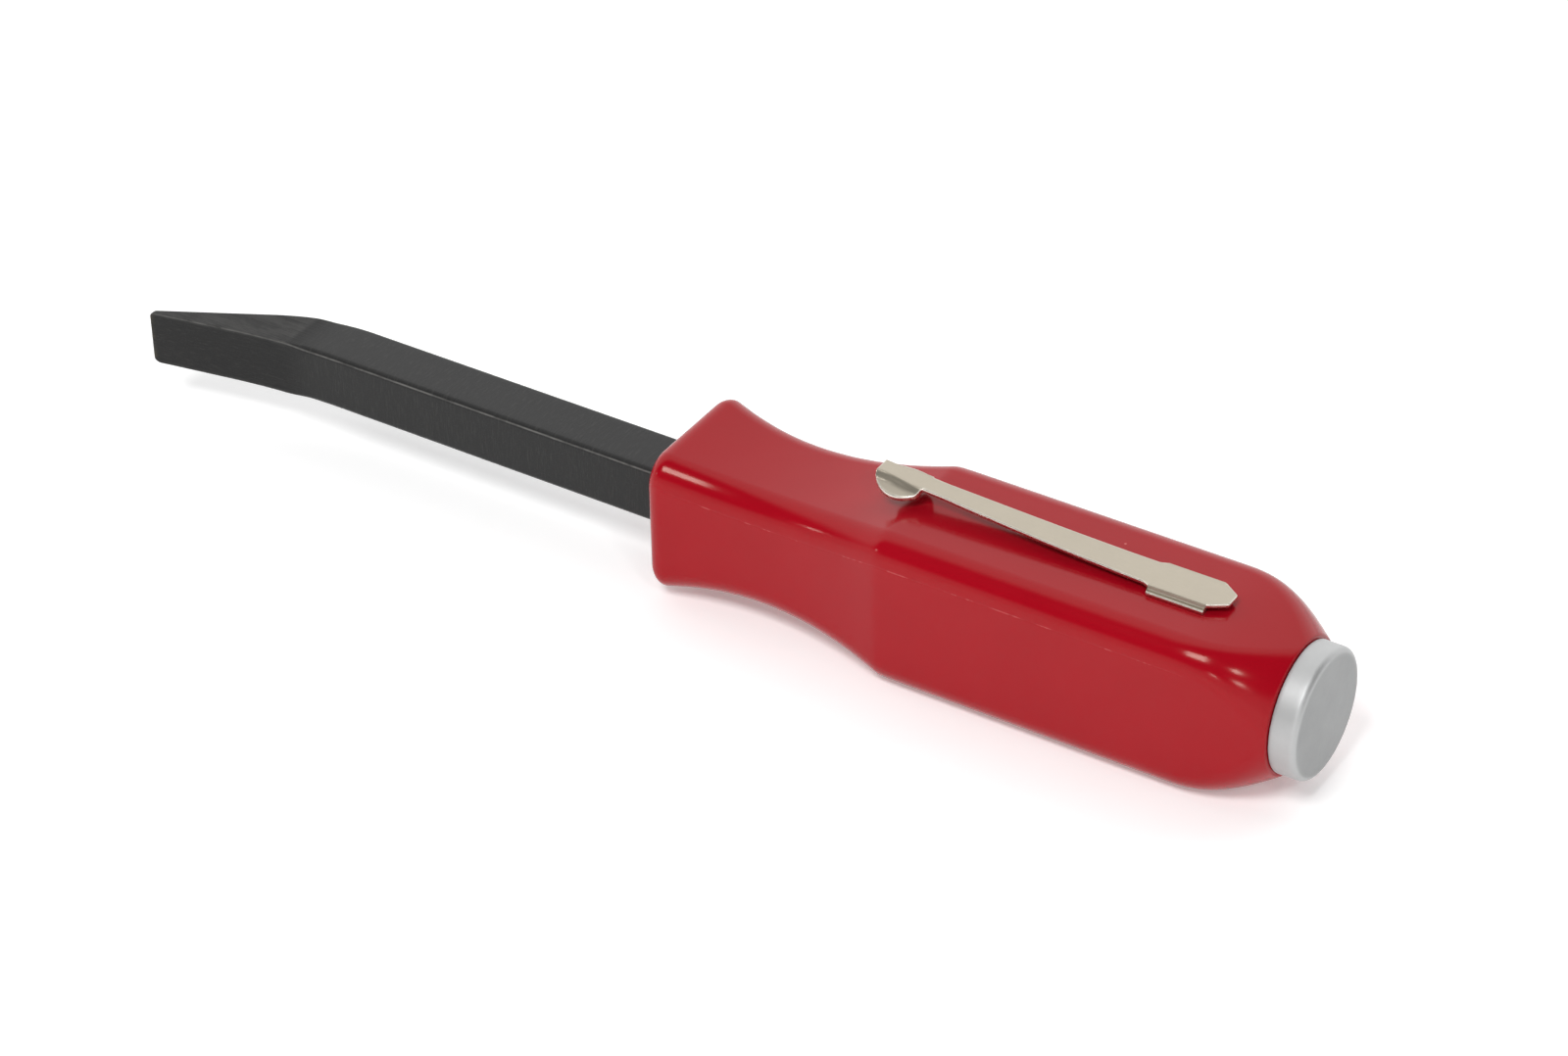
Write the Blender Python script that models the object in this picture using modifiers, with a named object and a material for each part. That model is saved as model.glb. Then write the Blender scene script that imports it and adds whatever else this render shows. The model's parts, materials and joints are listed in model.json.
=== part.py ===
"""Pocket pry bar: a square steel bar with a cranked, wedge-ground tip, a plastic handle,
a steel strike cap and a sprung pocket clip.

Metres, +Z up. +X runs along the bar towards the strike cap, the clip lies on the top of
the handle, and the tip is cranked towards -Y. The origin is under the middle of the
tool, in the plane that the handle lies on.
"""

from math import cos, pi, radians, sin, tan

import bmesh
import bpy
from mathutils import Matrix

# Driving dimensions
BAR_SIZE = 0.00615  # square stock
BAR_CORNER = 0.0006
BLADE_LENGTH = 0.0612  # from the handle's front to the tip
HANDLE_LENGTH = 0.0662
HANDLE_SIZE = 0.0165  # across the flats
CAP_RADIUS = 0.00645
CAP_THICKNESS = 0.0027
FIT_GAP = 0.0003  # between pieces that touch

OVERALL_LENGTH = BLADE_LENGTH + HANDLE_LENGTH + CAP_THICKNESS
TIP_X = -OVERALL_LENGTH / 2
FRONT_X = TIP_X + BLADE_LENGTH
REAR_X = FRONT_X + HANDLE_LENGTH
AXIS_Z = HANDLE_SIZE / 2

# Tip: both wide faces turn towards -Y, the far one more; distances are back from the tip
NEAR_CRANK_START = 0.0217
NEAR_CRANK_LENGTH = 0.0134
NEAR_TURN = radians(10.5)
FAR_CRANK_START = 0.0218
FAR_CRANK_LENGTH = 0.0107
TIP_THICKNESS = 0.0005
TIP_HALF_HEIGHT = 0.00301
NARROWING_START = 0.0179

# Handle: distances are measured from its front
WAIST_X = 0.0117
CREASE_X = 0.0260
SHOULDER_X = 0.0569
FLARE_HALF = 0.00793
WAIST_HALF = 0.00640
REAR_RADIUS = 0.00674
HANDLE_CORNER = 0.00264
FLARE_ROUND = 0.0018

# Strike cap
CAP_EDGE_ROUND = 0.0008
NECK_RADIUS = 0.0048
NECK_LENGTH = 0.0060
SPIGOT_RADIUS = 0.0022
SPIGOT_LENGTH = 0.0045

# Clip: distances along it are measured from the handle's front
SHEET = 0.0004
HEAD_FRONT_X = 0.0219
HEAD_CENTRE_X = 0.0246
HEAD_RADIUS = 0.0024
HINGE_X = 0.05135
CLIP_REAR_X = 0.0590
PLATE_TOP = 0.00092  # above the handle's flat
HEAD_TOP = 0.00252
PLATE_HALF = 0.00195
FOOT_HALF = 0.0025
FOOT_END_X = 0.0572
RIB_HALF = 0.00105
WALL_DROP = 0.00055  # from the rib's top to the inner edge of a wing
WALL_RUN = 0.0003
WING_SLOPE = 0.5  # a wing falls away from the rib
PRONG_WIDTH = 0.0020
PRONG_DEPTH = 0.0028


def clear_scene():
    for obj in list(bpy.data.objects):
        bpy.data.objects.remove(obj)


def new_collection(name, hidden=False):
    group = bpy.data.collections.new(name)
    group.hide_render = hidden
    bpy.context.scene.collection.children.link(group)
    return group


def principled(name, colour, roughness, metallic):
    material = bpy.data.materials.new(name)
    material.use_nodes = True
    shader = material.node_tree.nodes["Principled BSDF"]
    shader.inputs["Base Color"].default_value = (*colour, 1)
    shader.inputs["Roughness"].default_value = roughness
    shader.inputs["Metallic"].default_value = metallic
    return material


def add_object(name, bm, group, origin=(0, 0, 0)):
    """An object from a bmesh built in world space, with its origin moved to a given point."""
    bmesh.ops.recalc_face_normals(bm, faces=bm.faces)
    bmesh.ops.translate(bm, verts=bm.verts, vec=[-value for value in origin])
    mesh = bpy.data.meshes.new(name)
    bm.to_mesh(mesh)
    bm.free()
    mesh.shade_smooth()
    mesh.set_sharp_from_angle(angle=radians(35))
    obj = bpy.data.objects.new(name, mesh)
    obj.location = origin
    group.objects.link(obj)
    return obj


def add_cutter(name, bm, group):
    cutter = add_object(name, bm, group)
    cutter.hide_render = True
    cutter.display_type = "WIRE"
    return cutter


def boolean(obj, other, operation):
    modifier = obj.modifiers.new(f"{operation.lower()}_{other.name}", "BOOLEAN")
    modifier.operation = operation
    modifier.solver = "EXACT"
    modifier.object = other


def box(low, high):
    """A bmesh cube stretched between two corners."""
    bm = bmesh.new()
    bmesh.ops.create_cube(bm, size=1)
    size = [b - a for a, b in zip(low, high)]
    centre = [(a + b) / 2 for a, b in zip(low, high)]
    bmesh.ops.scale(bm, verts=bm.verts, vec=size)
    bmesh.ops.translate(bm, verts=bm.verts, vec=centre)
    return bm


def rod(x_low, x_high, radius, segments):
    """A bmesh cylinder along X on the bar's axis."""
    bm = bmesh.new()
    bmesh.ops.create_cone(
        bm, cap_ends=True, segments=segments, radius1=radius, radius2=radius, depth=x_high - x_low
    )
    bmesh.ops.rotate(bm, verts=bm.verts, matrix=Matrix.Rotation(pi / 2, 3, "Y"))
    bmesh.ops.translate(bm, verts=bm.verts, vec=((x_low + x_high) / 2, 0, AXIS_Z))
    return bm


def rounded_section(y_low, y_high, half_height, radius, steps):
    """(y, z) points round a rectangle with round corners, centred on the bar's axis in Z."""
    corners = (
        (y_high - radius, half_height - radius, 0),
        (y_low + radius, half_height - radius, pi / 2),
        (y_low + radius, radius - half_height, pi),
        (y_high - radius, radius - half_height, 3 * pi / 2),
    )
    points = []
    for y, z, start in corners:
        for step in range(steps + 1):
            angle = start + step / steps * pi / 2
            points.append((y + radius * cos(angle), AXIS_Z + z + radius * sin(angle)))
    return points


def loft(sections):
    """A closed body through rings of points; sections is a list of (x, points)."""
    bm = bmesh.new()
    rings = [[bm.verts.new((x, y, z)) for y, z in points] for x, points in sections]
    count = len(rings[0])
    for first, second in zip(rings, rings[1:]):
        for k in range(count):
            after = (k + 1) % count
            bm.faces.new((first[k], first[after], second[after], second[k]))
    bm.faces.new(rings[0])
    bm.faces.new(rings[-1])
    return bm


def crank(back, start, length, slope):
    """How far a face has turned aside at a distance back from the tip: an arc, then a straight."""
    into = start - back
    if into <= 0:
        return 0
    if into < length:
        return slope * into * into / (2 * length)
    return slope * (into - length / 2)


def pry_blade(group, material):
    """The bar: a wedge-ground tip, a cranked neck, a square tang and a turned spigot."""
    half = BAR_SIZE / 2
    near_slope = tan(NEAR_TURN)
    tip_aside = crank(0, NEAR_CRANK_START, NEAR_CRANK_LENGTH, near_slope)
    far_reach = FAR_CRANK_START - FAR_CRANK_LENGTH / 2
    far_slope = (BAR_SIZE - TIP_THICKNESS + tip_aside) / far_reach
    crank_end = NEAR_CRANK_START - NEAR_CRANK_LENGTH
    steps = 11
    stations = [0, crank_end / 2]
    stations += [crank_end + k / steps * (FAR_CRANK_START - crank_end) for k in range(steps + 1)]
    tang_end = REAR_X - NECK_LENGTH - FIT_GAP
    stations += [BLADE_LENGTH, tang_end - TIP_X]
    sections = []
    for back in stations:
        y_low = -half - crank(back, NEAR_CRANK_START, NEAR_CRANK_LENGTH, near_slope)
        y_high = half - crank(back, FAR_CRANK_START, FAR_CRANK_LENGTH, far_slope)
        taper = max(1 - back / NARROWING_START, 0)
        height = half - (half - TIP_HALF_HEIGHT) * taper
        radius = min(BAR_CORNER, 0.3 * (y_high - y_low))
        sections.append((TIP_X + back, rounded_section(y_low, y_high, height, radius, 4)))
    obj = add_object("pry_blade", loft(sections), group)
    obj.data.materials.append(material)
    return obj, tang_end


def handle_half(x):
    """Half the handle's width at a distance from its front."""
    if x < WAIST_X:
        half = WAIST_HALF + (FLARE_HALF - WAIST_HALF) * ((WAIST_X - x) / WAIST_X) ** 2
    elif x < CREASE_X:
        rise = (x - WAIST_X) / (CREASE_X - WAIST_X)
        half = WAIST_HALF + (HANDLE_SIZE / 2 - WAIST_HALF) * rise**2
    elif x < SHOULDER_X:
        half = HANDLE_SIZE / 2
    else:
        fall = (x - SHOULDER_X) / (HANDLE_LENGTH - SHOULDER_X)
        half = HANDLE_SIZE / 2 - (HANDLE_SIZE / 2 - REAR_RADIUS) * fall**2
    if x < FLARE_ROUND:
        half -= FLARE_ROUND - (FLARE_ROUND**2 - (FLARE_ROUND - x) ** 2) ** 0.5
    return half


def handle_corner(x, half):
    """The corner radius: even along the grip, then growing until the rear end is round."""
    if x < SHOULDER_X:
        return HANDLE_CORNER
    fall = (x - SHOULDER_X) / (HANDLE_LENGTH - SHOULDER_X)
    return HANDLE_CORNER + (0.985 * half - HANDLE_CORNER) * fall**2.65


def handle(group, cutters, material, prongs):
    """The grip: flared front, pinched waist, square body and a shoulder that turns round."""
    stations = [FLARE_ROUND * (1 - cos(k / 4 * pi / 2)) for k in range(5)]
    stations += [FLARE_ROUND + k / 11 * (CREASE_X - FLARE_ROUND) for k in range(1, 12)]
    stations += [SHOULDER_X + k / 11 * (HANDLE_LENGTH - SHOULDER_X) for k in range(12)]
    sections = []
    for x in stations:
        half = handle_half(x)
        points = rounded_section(-half, half, half, handle_corner(x, half), 6)
        sections.append((FRONT_X + x, points))
    obj = add_object("handle", loft(sections), group)
    obj.data.materials.append(material)
    hole = BAR_SIZE / 2 + FIT_GAP
    beyond = 0.002
    tang_hole = box(
        (FRONT_X - beyond, -hole, AXIS_Z - hole), (REAR_X + beyond, hole, AXIS_Z + hole)
    )
    boolean(obj, add_cutter("tang_hole", tang_hole, cutters), "DIFFERENCE")
    neck = rod(REAR_X - NECK_LENGTH - FIT_GAP, REAR_X + beyond, NECK_RADIUS + FIT_GAP, 32)
    boolean(obj, add_cutter("neck_bore", neck, cutters), "DIFFERENCE")
    for number, x in enumerate(prongs, 1):
        wide = PRONG_WIDTH / 2 + FIT_GAP
        slot = box(
            (x - SHEET / 2 - FIT_GAP, -wide, HANDLE_SIZE - PRONG_DEPTH - FIT_GAP),
            (x + SHEET / 2 + FIT_GAP, wide, HANDLE_SIZE + beyond),
        )
        boolean(obj, add_cutter(f"prong_slot_{number}", slot, cutters), "DIFFERENCE")
    return obj


def strike_cap(group, material):
    """A turned button whose neck sits in the handle, bored for the tang's spigot."""
    seat = FIT_GAP
    bore = SPIGOT_RADIUS + FIT_GAP
    bore_depth = SPIGOT_LENGTH + FIT_GAP
    profile = [(0, CAP_THICKNESS)]
    for k in range(5):
        angle = pi / 2 - k / 4 * pi / 2
        profile.append(
            (
                CAP_RADIUS - CAP_EDGE_ROUND * (1 - cos(angle)),
                CAP_THICKNESS - CAP_EDGE_ROUND * (1 - sin(angle)),
            )
        )
    profile += [
        (CAP_RADIUS, seat),
        (NECK_RADIUS, seat),
        (NECK_RADIUS, -NECK_LENGTH),
        (bore, -NECK_LENGTH),
        (bore, bore_depth - NECK_LENGTH),
        (0, bore_depth - NECK_LENGTH),
    ]
    mesh = bpy.data.meshes.new("strike_cap")
    edges = [(k, k + 1) for k in range(len(profile) - 1)]
    mesh.from_pydata([(radius, 0, z) for radius, z in profile], edges, [])
    obj = bpy.data.objects.new("strike_cap", mesh)
    obj.location = (REAR_X, 0, AXIS_Z)
    obj.rotation_euler = (0, pi / 2, 0)
    group.objects.link(obj)
    turn = obj.modifiers.new("turn", "SCREW")
    turn.steps = 48
    turn.render_steps = 48
    turn.use_merge_vertices = True
    turn.merge_threshold = 0.00001
    turn.use_smooth_shade = True
    obj.data.materials.append(material)
    return obj


def solidify(obj):
    """Sheet metal: the modelled face is the upper one, and the thickness goes below it."""
    sheet = obj.modifiers.new("sheet", "SOLIDIFY")
    sheet.thickness = SHEET
    sheet.offset = -1
    sheet.use_even_offset = True


def sheet_grid(rows):
    """An open surface facing up through rows of (x, y, z) points."""
    bm = bmesh.new()
    grid = [[bm.verts.new(point) for point in row] for row in rows]
    for first, second in zip(grid, grid[1:]):
        for k in range(len(first) - 1):
            bm.faces.new((first[k], second[k], second[k + 1], first[k + 1]))
    return bm


def arm_top(x):
    """Height of the clip's upper face above the handle's flat: level at the root, then rising."""
    root = HINGE_X - FIT_GAP / 2
    rise = (root - x) / (root - HEAD_FRONT_X)
    return PLATE_TOP + (HEAD_TOP - PLATE_TOP) * rise**1.4


def clip_arm(group, material):
    """The springy arm, narrowing to a round head with a raised rib and two sloping wings."""
    centre = HEAD_CENTRE_X
    root = HINGE_X - FIT_GAP / 2
    join = centre + 0.0019
    neck = join + 0.0006
    head = [HEAD_FRONT_X + k / 8 * (join - HEAD_FRONT_X) for k in range(9)]
    arm = [neck + k / 8 * (root - neck) for k in range(9)]
    rows = []
    for x in head + arm:
        z = HANDLE_SIZE + arm_top(x)
        if x < neck:
            rib = RIB_HALF
            wall_drop = WALL_DROP
            half = max(HEAD_RADIUS**2 - (x - centre) ** 2, 0) ** 0.5
            half = max(half, rib + 1.5 * WALL_RUN)
        else:
            half = RIB_HALF + (PLATE_HALF - RIB_HALF) * (x - neck) / (root - neck)
            rib = half - 1.5 * WALL_RUN
            wall_drop = 0
        foot = rib + WALL_RUN
        edge_drop = wall_drop + (half - foot) * WING_SLOPE if wall_drop else 0
        side = ((rib, 0), (foot, wall_drop), (half, edge_drop))
        across = [(-y, drop) for y, drop in reversed(side)] + list(side)
        rows.append([(FRONT_X + x, y, z - drop) for y, drop in across])
    pivot = (FRONT_X + HINGE_X, 0, HANDLE_SIZE + PLATE_TOP - SHEET / 2)
    obj = add_object("clip_arm", sheet_grid(rows), group, pivot)
    solidify(obj)
    obj.data.materials.append(material)
    return obj


def clip_base(group, cutters, material, prongs):
    """The clip's rear plate with a foot along each side and two prongs driven into the handle."""
    root = HINGE_X + FIT_GAP / 2
    top = HANDLE_SIZE + PLATE_TOP
    foot_top = HANDLE_SIZE + FIT_GAP + SHEET
    nose_half = 0.00075
    rows = []
    for x, half in ((root, PLATE_HALF), (FOOT_END_X, PLATE_HALF), (CLIP_REAR_X, nose_half)):
        rows.append([(FRONT_X + x, y, top) for y in (-half, half)])
    obj = add_object("clip_base", sheet_grid(rows), group)
    solidify(obj)
    obj.data.materials.append(material)
    overlap = 0.00012
    for side, name in ((-1, "near_foot"), (1, "far_foot")):
        ends = sorted((side * (PLATE_HALF - overlap), side * FOOT_HALF))
        foot = box(
            (FRONT_X + root, ends[0], foot_top - SHEET),
            (FRONT_X + FOOT_END_X, ends[1], foot_top),
        )
        boolean(obj, add_cutter(name, foot, cutters), "UNION")
    for number, x in enumerate(prongs, 1):
        prong = box(
            (x - SHEET / 2, -PRONG_WIDTH / 2, HANDLE_SIZE - PRONG_DEPTH),
            (x + SHEET / 2, PRONG_WIDTH / 2, top - overlap),
        )
        boolean(obj, add_cutter(f"prong_{number}", prong, cutters), "UNION")
    return obj


def build():
    clear_scene()
    group = new_collection("pocket_pry_bar")
    cutters = new_collection("cutters", hidden=True)
    black_oxide = principled("black_oxide_steel", (0.06, 0.06, 0.06), 0.5, 0.6)
    red_plastic = principled("red_plastic", (0.45, 0.015, 0.02), 0.25, 0.0)
    satin_steel = principled("satin_steel", (0.55, 0.56, 0.58), 0.35, 1.0)
    nickel = principled("nickel_plate", (0.6, 0.57, 0.49), 0.35, 1.0)
    prongs = (FRONT_X + 0.0532, FRONT_X + 0.0562)
    blade, tang_end = pry_blade(group, black_oxide)
    spigot = rod(tang_end - 0.001, tang_end + SPIGOT_LENGTH, SPIGOT_RADIUS, 24)
    boolean(blade, add_cutter("spigot", spigot, cutters), "UNION")
    handle(group, cutters, red_plastic, prongs)
    strike_cap(group, satin_steel)
    clip_base(group, cutters, nickel, prongs)
    clip_arm(group, nickel)


build()
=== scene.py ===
"""Looks of the pocket pry bar: blade, handle, strike cap and pocket clip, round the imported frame.

Metres, +Z up. +X runs along the bar towards the strike cap and the tip is cranked towards -Y.
"""

import json
from math import cos, pi, radians, sin, tan

import bmesh
import bpy
import numpy as np
from mathutils import Matrix, Vector


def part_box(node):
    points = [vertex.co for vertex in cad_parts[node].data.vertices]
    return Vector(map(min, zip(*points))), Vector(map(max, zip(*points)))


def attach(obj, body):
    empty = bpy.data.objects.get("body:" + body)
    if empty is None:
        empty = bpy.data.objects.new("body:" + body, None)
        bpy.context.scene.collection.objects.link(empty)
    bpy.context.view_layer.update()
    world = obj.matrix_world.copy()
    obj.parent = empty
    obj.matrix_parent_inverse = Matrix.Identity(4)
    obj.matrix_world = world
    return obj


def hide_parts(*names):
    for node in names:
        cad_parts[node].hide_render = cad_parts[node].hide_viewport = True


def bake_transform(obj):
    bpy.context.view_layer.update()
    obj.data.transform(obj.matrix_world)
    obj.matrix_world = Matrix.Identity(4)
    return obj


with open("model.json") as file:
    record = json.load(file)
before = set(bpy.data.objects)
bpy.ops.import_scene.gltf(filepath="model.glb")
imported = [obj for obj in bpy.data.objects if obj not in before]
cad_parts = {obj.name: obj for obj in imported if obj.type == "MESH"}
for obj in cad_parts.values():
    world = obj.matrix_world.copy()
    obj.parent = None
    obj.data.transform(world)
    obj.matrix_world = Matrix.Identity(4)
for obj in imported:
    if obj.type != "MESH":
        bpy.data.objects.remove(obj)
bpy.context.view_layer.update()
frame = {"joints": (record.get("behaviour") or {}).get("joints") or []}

# ---------------------------------------------------------------------------------------
# Studio. A pale floor that glows a little, white paper low down all round, brighter paper
# standing behind the tool, and a dark ceiling. One large soft lamp is the key light, and four
# small ones put highlights on single faces. The camera stands in front, to the right, above.

FLOOR_REACH = 3.0
FLOOR_DROP = 0.0001
PAPER = 0.92
PAPER_GLOW = 0.22
FRONT_PAPER = 1.0
FRONT_PAPER_EDGE = (0.16, 0.40)
BACK_PAPER = 1.4
BACK_PAPER_EDGE = (-0.01, 0.32)
BACK_PAPER_X = 0.54
BACK_PAPER_Y = 0.84
CEILING_DIM = 0.03
KEY_DISTANCE = 0.80
LAMP_DISTANCE = 0.90
CAMERA_AZIMUTH = radians(33.074)
CAMERA_ELEVATION = radians(35.499)
CAMERA_ROLL = radians(1.099)
CAMERA_DISTANCE = 0.46375
CAMERA_AIM = Vector((0.00504, 0.00312, 0.00492))
CAMERA_NEAR = 0.01
SENSOR_WIDTH = 36.0
LENS = 110.37


class Wire:
    """A shader socket. Arithmetic on wires adds Math nodes, and node() adds any other node."""

    def __init__(self, tree, socket=None):
        self.tree = tree
        self.socket = socket

    def node(self, kind, settings=(), inputs=(), output=0):
        """Adds a node of a kind, sets it up, and gives its sockets their values or wires."""
        made = self.tree.nodes.new(kind)
        for name, value in dict(settings).items():
            setattr(made, name, value)
        for name, value in dict(inputs).items():
            if isinstance(value, Wire):
                self.tree.links.new(value.socket, made.inputs[name])
            else:
                made.inputs[name].default_value = value
        return Wire(self.tree, made.outputs[output])

    def math(self, operation, *values):
        """One Math node."""
        return self.node("ShaderNodeMath", {"operation": operation}, enumerate(values))

    def __add__(self, other):
        return self.math("ADD", self, other)

    __radd__ = __add__

    def __sub__(self, other):
        return self.math("SUBTRACT", self, other)

    def __rsub__(self, other):
        return self.math("SUBTRACT", other, self)

    def __mul__(self, other):
        return self.math("MULTIPLY", self, other)

    __rmul__ = __mul__

    def ramp(self, low, high):
        """0 below low, 1 above high, and a smooth step between them."""
        return self.node(
            "ShaderNodeMapRange",
            {"interpolation_type": "SMOOTHSTEP"},
            {"Value": self, "From Min": low, "From Max": high},
        )

    def between(self, first, second):
        """The first colour where this wire is 0 and the second where it is 1."""
        ends = (end if isinstance(end, Wire) else (*end, 1) for end in (first, second))
        inputs = dict(zip((0, 6, 7), (self, *ends)))
        return self.node("ShaderNodeMix", {"data_type": "RGBA"}, inputs, output=2)

    def part(self, axis):
        """One component of a vector: 0, 1 or 2."""
        return self.node("ShaderNodeSeparateXYZ", inputs={"Vector": self}, output=axis)

    def scaled(self, scale, shift=(0, 0, 0)):
        """A vector moved and then stretched, to centre or stretch a pattern."""
        moved = self.node("ShaderNodeVectorMath", {"operation": "ADD"}, {0: self, 1: shift})
        return self.node("ShaderNodeVectorMath", {"operation": "MULTIPLY"}, {0: moved, 1: scale})

    def noise(self, scale, detail=2.0, roughness=0.5):
        """Cloudy values about 0.5 over this vector."""
        return self.node(
            "ShaderNodeTexNoise",
            inputs={"Vector": self, "Scale": scale, "Detail": detail, "Roughness": roughness},
        )


floor_mesh = bpy.data.meshes.new("floor")
floor_corners = [
    (x * FLOOR_REACH, y * FLOOR_REACH, -FLOOR_DROP) for x, y in ((-1, -1), (1, -1), (1, 1), (-1, 1))
]
floor_mesh.from_pydata(floor_corners, [], [(0, 1, 2, 3)])
floor = bpy.data.objects.new("floor", floor_mesh)
bpy.context.scene.collection.objects.link(floor)
paper = bpy.data.materials.new("white_paper")
paper.use_nodes = True
paper_shader = paper.node_tree.nodes["Principled BSDF"]
paper_shader.inputs["Base Color"].default_value = (PAPER, PAPER, PAPER, 1)
paper_shader.inputs["Roughness"].default_value = 1.0
paper_shader.inputs["Specular IOR Level"].default_value = 0.0
paper_shader.inputs["Emission Color"].default_value = (1, 1, 1, 1)
paper_shader.inputs["Emission Strength"].default_value = PAPER_GLOW
floor_mesh.materials.append(paper)

world = bpy.data.worlds.new("studio")
world.use_nodes = True
bpy.context.scene.world = world
sky = Wire(world.node_tree)
toward = sky.node("ShaderNodeTexCoord", output=0)
height = toward.part(2)
behind = toward.part(1) * BACK_PAPER_Y - toward.part(0) * BACK_PAPER_X
low_paper = (1 - height.ramp(*FRONT_PAPER_EDGE)) * FRONT_PAPER + CEILING_DIM
level = sky.math("MAXIMUM", low_paper, behind.ramp(*BACK_PAPER_EDGE) * BACK_PAPER)
background = world.node_tree.nodes["Background"]
world.node_tree.links.new(level.socket, background.inputs["Color"])


def lamp(name, direction, distance, width, depth, power):
    """A rectangular soft lamp that faces the middle of the tool."""
    light = bpy.data.lights.new(name, "AREA")
    light.shape = "RECTANGLE"
    light.size = width
    light.size_y = depth
    light.energy = power
    holder = bpy.data.objects.new(name, light)
    aim = Vector(direction).normalized()
    holder.location = aim * distance
    holder.rotation_mode = "QUATERNION"
    holder.rotation_quaternion = aim.to_track_quat("Z", "Y")
    bpy.context.scene.collection.objects.link(holder)


lamp("key_lamp", (0.04, -0.54, 0.84), KEY_DISTANCE, 0.27, 0.24, 3.3)
lamp("left_lamp", (-0.68, -0.62, 0.38), LAMP_DISTANCE, 0.06, 0.06, 0.25)
lamp("right_lamp", (0.60, -0.43, 0.67), LAMP_DISTANCE, 0.09, 0.10, 0.75)
lamp("low_right_lamp", (0.65, -0.65, 0.39), LAMP_DISTANCE, 0.11, 0.06, 0.50)
lamp("low_front_lamp", (0.32, -0.89, 0.32), LAMP_DISTANCE, 0.05, 0.07, 0.22)

back = Vector(
    (
        sin(CAMERA_AZIMUTH) * cos(CAMERA_ELEVATION),
        -cos(CAMERA_AZIMUTH) * cos(CAMERA_ELEVATION),
        sin(CAMERA_ELEVATION),
    )
)
level_right = (-back).cross(Vector((0, 0, 1))).normalized()
level_down = (-back).cross(level_right)
right = level_right * cos(CAMERA_ROLL) + level_down * sin(CAMERA_ROLL)
down = level_down * cos(CAMERA_ROLL) - level_right * sin(CAMERA_ROLL)
camera_data = bpy.data.cameras.new("camera")
camera_data.sensor_width = SENSOR_WIDTH
camera_data.lens = LENS
camera_data.clip_start = CAMERA_NEAR
camera = bpy.data.objects.new("camera", camera_data)
place = CAMERA_AIM + back * CAMERA_DISTANCE
camera.matrix_world = Matrix(
    [(*pair, spot) for pair, spot in zip(zip(right, -down, back), place)] + [(0, 0, 0, 1)]
)
bpy.context.scene.collection.objects.link(camera)
bpy.context.scene.camera = camera
bpy.context.scene.view_settings.view_transform = "Standard"

# ---------------------------------------------------------------------------------------
# Pry blade. A square steel bar, black oxide all over: its tip is bent to one side and ground
# to a wedge with marks along it, and a pale line runs along its edges, partly wear on the
# steel and partly a painted reflection of the bright low paper. Inside the handle it runs on
# as a square tang, moulded in, and a turned spigot that holds the cap.

blade_low, blade_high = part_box("pry_blade")
BAR_HALF = (blade_high.z - blade_low.z) / 2
AXIS_Z = (blade_high.z + blade_low.z) / 2
TIP_X = blade_low.x
TANG_LENGTH = blade_high.x - TIP_X
BAR_CORNER = 0.0006
GROUND_CORNER = 0.00015
GROUND_END = 0.0150
GROUND_RUN = 0.0030
THIN_CORNER = 0.3
WEDGE_END = 0.0145
BEND_BACK = 0.0225
NEAR_CRANK_START = 0.0217
NEAR_CRANK_LENGTH = 0.0134
NEAR_TURN = radians(10.5)
FAR_CRANK_START = 0.0218
FAR_CRANK_LENGTH = 0.0107
TIP_THICKNESS = 0.0005
TIP_HALF_HEIGHT = 0.00301
NARROWING_START = 0.0179
TIP_CORNER_TOP = 0.0005
TIP_CORNER_LOW = 0.0007
TIP_EDGE = 0.00012
CORNER_POINTS = 13
SIDE_POINTS = 10
SPIGOT_RADIUS = 0.0022
SPIGOT_LENGTH = 0.0045
NEARLY_ROUND = 0.985
WELD = 1e-7
TINY = 1e-9
# Where the pale edge line sits round each corner radius, and how wide it is. The line is partly a painted
# reflection.
EDGE_LINE_PLACE = 0.5
EDGE_LINE_WIDTH = 0.00009
TIP_MARK_WIDTH = 0.00035
GRIND_START = 0.0140
GRIND_RUN = 0.0050
OXIDE_DARK = (0.0100, 0.0100, 0.0102)
OXIDE_PALE = (0.0165, 0.0162, 0.0157)
OXIDE_STREAK = (0.040, 0.039, 0.036)
OXIDE_SPECK = (0.038, 0.039, 0.041)
# Pale steel for the edge line, partly wear on the steel and partly a painted reflection:
WEAR_AND_SHEEN_STEEL = (0.150, 0.147, 0.140)
WORN_TIP = (0.075, 0.066, 0.045)


def smooth(value):
    """0 below 0, 1 above 1, and three t squared less two t cubed between them."""
    t = np.clip(value, 0, 1)
    return t * t * (3 - 2 * t)


def bell(distance, width):
    """1 at no distance, falling off as the exponential of minus its square in widths."""
    return np.exp(-((distance / width) ** 2))


def crank(distance, start, length, slope):
    """How far a face turns aside: a parabola over the crank's length, then a straight slope."""
    into = np.clip(start - distance, 0, None)
    bend = np.minimum(into, length)
    return slope * (bend**2 / (2 * length) + into - bend)


def end_round(distance, radius):
    """How much a rounded end falls in at a distance from it: a quarter circle."""
    short = np.clip(radius - distance, 0, radius)
    return radius - np.sqrt(radius**2 - short**2)


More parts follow.
